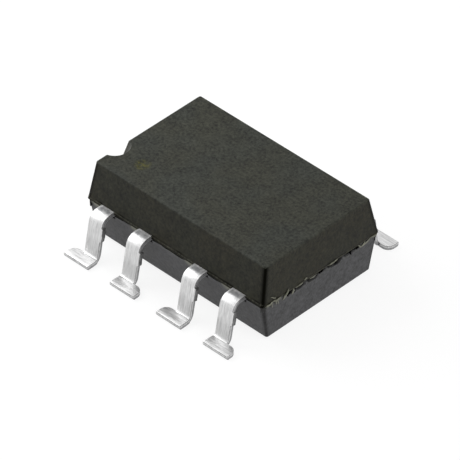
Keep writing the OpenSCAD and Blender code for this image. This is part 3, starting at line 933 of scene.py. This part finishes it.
def tin_plate(streaks, strip):
    """Matt tin with rolling streaks and dark specks, its top darkened where the lead leaves the casing as a
    painted reflection of the casing, and painted shade towards the stem's lower end.
    """
    material, tree, shader = new_material("tin_plate", Metallic=0.85)
    flat = add(tree, "UVMap", uv_map="strip").outputs["UV"]
    number = attribute(tree, "number")
    light, height = strip_streaks(tree, streaks, flat, number)
    sides = add(tree, "SeparateXYZ", {0: flat}).outputs
    place = add(tree, "CombineXYZ", {0: sides["X"], 1: sides["Y"], 2: number}).outputs[0]
    ragged = calc(tree, "MULTIPLY", calc(tree, "SUBTRACT", noise_value(tree, place, 9.0, 3), 0.5), 0.16)
    # Painted reflection: the lead's top just outside the casing is darkened, mottled, where it mirrors the
    # black casing.
    exit_s = HALF_Y - strip.start_u
    half_reflection_patch = STEM_W / 2 - 0.08
    casing_reflection_patch = calc(tree, "MULTIPLY",
                 window(tree, calc(tree, "ADD", sides["X"], ragged), -half_reflection_patch, half_reflection_patch, 0.02),
                 window(tree, calc(tree, "ADD", sides["Y"], ragged), exit_s + 0.07, strip.s1 + 0.06, 0.03))
    reflection_mottle = remap(tree, noise_value(tree, place, 5.0, 2), 0.35, 0.6, 0.3, 0.75)
    painted_reflection = calc(tree, "MULTIPLY", casing_reflection_patch, reflection_mottle)
    # Painted shade: the stem darkens by up to 15 % towards its lower bend.
    lower_end = window(tree, sides["Y"], strip.s2 + 0.5 * (strip.s3 - strip.s2), strip.s3 + 0.05, 0.15)
    lower_stem_shading = calc(tree, "SUBTRACT", 1.0, calc(tree, "MULTIPLY", lower_end, 0.15))
    specks = calc(tree, "MULTIPLY", window(tree, sides["Y"], strip.s1, strip.s2, 0.1),
                  remap(tree, noise_value(tree, place, 15.0, 2), 0.62, 0.70, 0.0, 0.6))
    colour = blend(tree, 1.0, tone(PLATED_TIN), calc(tree, "MULTIPLY", light, lower_stem_shading), "MULTIPLY")
    colour = blend(tree, calc(tree, "MAXIMUM", painted_reflection, specks), colour, tone(SPECKS_AND_CASING_REFLECTION))
    tree.links.new(colour, shader.inputs["Base Color"])
    tree.links.new(remap(tree, height, 0.3, 0.7, 0.38, 0.54), shader.inputs["Roughness"])
    bump(tree, shader, height, 0.5, 0.012)
    return material


def sheared_edge(grain):
    """The cut sides of the leads: a rolled rim darkened as a painted dark reflection, a burnished band,
    then the rough break.
    """
    material, tree, shader = new_material("sheared_edge", Metallic=0.8)
    place = add(tree, "Mapping", {"Vector": in_millimetres(tree), "Scale": (1, 1, 0.35)}).outputs[0]
    texture = use_group(tree, grain, {"Place": place, "Fineness": 14.0, "Contrast": 1.3})
    depth = attribute(tree, "depth")
    broken = remap(tree, depth, 0.45, 0.55)
    colour = blend(tree, broken, tone(BURNISHED_CUT), tone(BROKEN_CUT))
    # Painted reflection: the rolled rim goes dark as if it mirrored dark surroundings.
    colour = blend(tree, remap(tree, depth, 0.05, 0.2, 0.85, 0.0), colour, tone(ROLLED_RIM_DARK_REFLECTION))
    colour = blend(tree, attribute(tree, "torn_and_highlight"), colour, tone(TORN_STUB))
    colour = blend(tree, 1.0, colour, texture["Lightness"], "MULTIPLY")
    tree.links.new(colour, shader.inputs["Base Color"])
    tree.links.new(remap(tree, broken, 0, 1, 0.35, 0.6), shader.inputs["Roughness"])
    bump(tree, shader, texture["Height"], 0.3, 0.015)
    return material


def die_silicon(name, face, metal, grain):
    """A sawn die: polished face, with a faint pattern of cells."""
    material, tree, shader = new_material(name, Roughness=0.22)
    place = in_millimetres(tree)
    cells = add(tree, "TexBrick", {"Vector": place, "Color1": tone(face), "Color2": tone(face),
                                   "Mortar": tone(metal), "Scale": 14.0,
                                   "Mortar Size": 0.03}).outputs["Color"]
    texture = use_group(tree, grain, {"Place": place, "Fineness": 25.0, "Contrast": 0.6})
    colour = blend(tree, 1.0, cells, texture["Lightness"], "MULTIPLY")
    tree.links.new(colour, shader.inputs["Base Color"])
    return material


def grained_metal(name, metal, roughness, metallic, grain, fineness):
    """Metal, or resin filled with it, with a fine grain."""
    material, tree, shader = new_material(name, Metallic=metallic)
    texture = use_group(tree, grain, {"Place": in_millimetres(tree), "Fineness": fineness,
                                      "Contrast": 1.0})
    colour = blend(tree, 1.0, tone(metal), texture["Lightness"], "MULTIPLY")
    tree.links.new(colour, shader.inputs["Base Color"])
    tree.links.new(remap(tree, texture["Height"], 0.3, 0.7, roughness - 0.08, roughness + 0.08),
                   shader.inputs["Roughness"])
    bump(tree, shader, texture["Height"], 0.3, 0.01)
    return material


def clear_silicone(grain):
    """The soft clear gel that carries the light from die to die."""
    material, tree, shader = new_material("clear_silicone", IOR=1.41, Transmission_Weight=0.9,
                                          Roughness=0.08)
    texture = use_group(tree, grain, {"Place": in_millimetres(tree), "Fineness": 3.0, "Contrast": 0.1})
    colour = blend(tree, 1.0, tone(SILICONE), texture["Lightness"], "MULTIPLY")
    tree.links.new(colour, shader.inputs["Base Color"])
    bump(tree, shader, texture["Height"], 0.1, 0.02)
    return material


def dress_inside(grain):
    """Gives the pieces sealed in the casing their own materials; their shapes are the frame's."""
    finishes = {
        "emitter_die": die_silicon("emitter_die", EMITTER_FACE, EMITTER_METAL, grain),
        "detector_die": die_silicon("detector_die", DETECTOR_FACE, DETECTOR_METAL, grain),
        "emitter_bond": grained_metal("silver_adhesive", SILVER_ADHESIVE, 0.5, 0.6, grain, 30.0),
        "emitter_wire": grained_metal("gold_wire", GOLD, 0.25, 1.0, grain, 40.0),
        "coupling_dome": clear_silicone(grain),
    }
    finishes["detector_bond"] = finishes["emitter_bond"]
    finishes["detector_wire"] = finishes["emitter_wire"]
    for kind, material in finishes.items():
        for letter in "ab":
            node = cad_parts[f"{kind}_{letter}"]
            for slot in node.material_slots:
                slot.material = material


# ---------- Stage ----------

# The camera stands beyond the near corner, far away, with a long lens.
AZIMUTH, ELEVATION, ROLL = math.radians(44.554), math.radians(39.753), math.radians(-0.149)
CAMERA_DISTANCE = 226.12
TARGET = Vector((0.267, -0.410, 1.5))    # what the camera and the near lamp are turned to
SENSOR, FOCAL_IN_WIDTHS = 36.0, 12.65    # the lens is that many widths of its picture long
SKY_LEVEL = 0.4           # what the surroundings give as soft light
FLOOR_GLOW = 0.80         # how much of the table is plain white to the camera
GLOW_STRENGTH = 1.06
FLOOR_HALF = 2000


def make_camera():
    """The camera, turned to the target with its small roll."""
    back = Vector((math.sin(AZIMUTH) * math.cos(ELEVATION),
                   -math.cos(AZIMUTH) * math.cos(ELEVATION), math.sin(ELEVATION)))
    right = Vector((math.cos(AZIMUTH), math.sin(AZIMUTH), 0))
    up = back.cross(right)
    turned = (right * math.cos(ROLL) + up * math.sin(ROLL),
              up * math.cos(ROLL) - right * math.sin(ROLL))
    camera = bpy.data.objects.new("camera", bpy.data.cameras.new("camera"))
    camera.data.sensor_width = SENSOR
    camera.data.lens = FOCAL_IN_WIDTHS * SENSOR
    camera.data.clip_start = 0.01
    camera.data.clip_end = 10
    axes = Matrix((turned[0], turned[1], back)).transposed().to_4x4()
    camera.matrix_world = Matrix.Translation((TARGET + back * CAMERA_DISTANCE) * MM) @ axes
    bpy.context.scene.collection.objects.link(camera)
    bpy.context.scene.camera = camera


def seen_directly(tree):
    """1 for what the camera sees, also in metal and through clear parts, and 0 for soft light."""
    rays = add(tree, "LightPath").outputs
    mirrored = calc(tree, "MAXIMUM", rays["Is Glossy Ray"], rays["Is Transmission Ray"])
    return calc(tree, "MAXIMUM", rays["Is Camera Ray"], mirrored)


def make_world():
    """White surroundings, weaker as a light than as what is seen and mirrored."""
    world = bpy.data.worlds.new("studio")
    world.use_nodes = True
    bpy.context.scene.world = world
    tree = world.node_tree
    strength = remap(tree, seen_directly(tree), 0, 1, SKY_LEVEL, 1.0)
    background = tree.nodes["Background"]
    background.inputs["Color"].default_value = tone(WHITE)
    tree.links.new(strength, background.inputs["Strength"])


def make_sun(name, azimuth, elevation, strength, angle):
    """A soft lamp from a compass direction: azimuth 0 is +X, 90 is +Y."""
    a, e = math.radians(azimuth), math.radians(elevation)
    towards = Vector((math.cos(a) * math.cos(e), math.sin(a) * math.cos(e), math.sin(e)))
    lamp = bpy.data.objects.new(name, bpy.data.lights.new(name, "SUN"))
    lamp.data.energy = strength
    lamp.data.angle = math.radians(angle)
    lamp.rotation_euler = towards.to_track_quat("Z", "Y").to_euler()
    bpy.context.scene.collection.objects.link(lamp)


def make_softbox(name, place, radius, power):
    """A round lamp close by, turned to the casing: it lights the near end a little more."""
    lamp = bpy.data.objects.new(name, bpy.data.lights.new(name, "AREA"))
    lamp.data.shape = "DISK"
    lamp.data.size = 2 * radius * MM
    lamp.data.energy = power
    lamp.location = Vector(place) * MM
    lamp.rotation_euler = (Vector(place) - TARGET).to_track_quat("Z", "Y").to_euler()
    bpy.context.scene.collection.objects.link(lamp)


def make_floor():
    """A wide white table, partly glowing, so that it leaves only a faint shadow."""
    bm = bmesh.new()
    bmesh.ops.create_grid(bm, x_segments=1, y_segments=1, size=FLOOR_HALF)
    bmesh.ops.scale(bm, vec=(MM, MM, MM), verts=bm.verts)
    floor = scratch_object(bm, "floor")
    material, tree, shader = new_material("white_table", Base_Color=tone(TABLE_WHITE),
                                          Roughness=0.9, Specular_IOR_Level=0.0)
    glow = add(tree, "Emission", {"Color": tone(WHITE), "Strength": GLOW_STRENGTH})
    share = calc(tree, "MULTIPLY", seen_directly(tree), FLOOR_GLOW)
    mixed = add(tree, "MixShader", {0: share, 1: shader.outputs[0], 2: glow.outputs[0]})
    tree.links.new(mixed.outputs[0], tree.nodes["Material Output"].inputs["Surface"])
    floor.data.materials.append(material)


bpy.context.scene.view_settings.view_transform = "Standard"
make_camera()
make_world()
make_sun("key", 205, 50, 0.5, 75)
make_softbox("near_side", (-30, -9, 24), 20, 0.010)
make_sun("fill", 20, 32, 1.15, 50)
make_floor()

grain = grain_group()
streaks = streak_group()
make_casing([moulding_compound(grain)])
strip = FormedStrip()
make_leads(strip, [tin_plate(streaks, strip), sheared_edge(grain)])
dress_inside(grain)
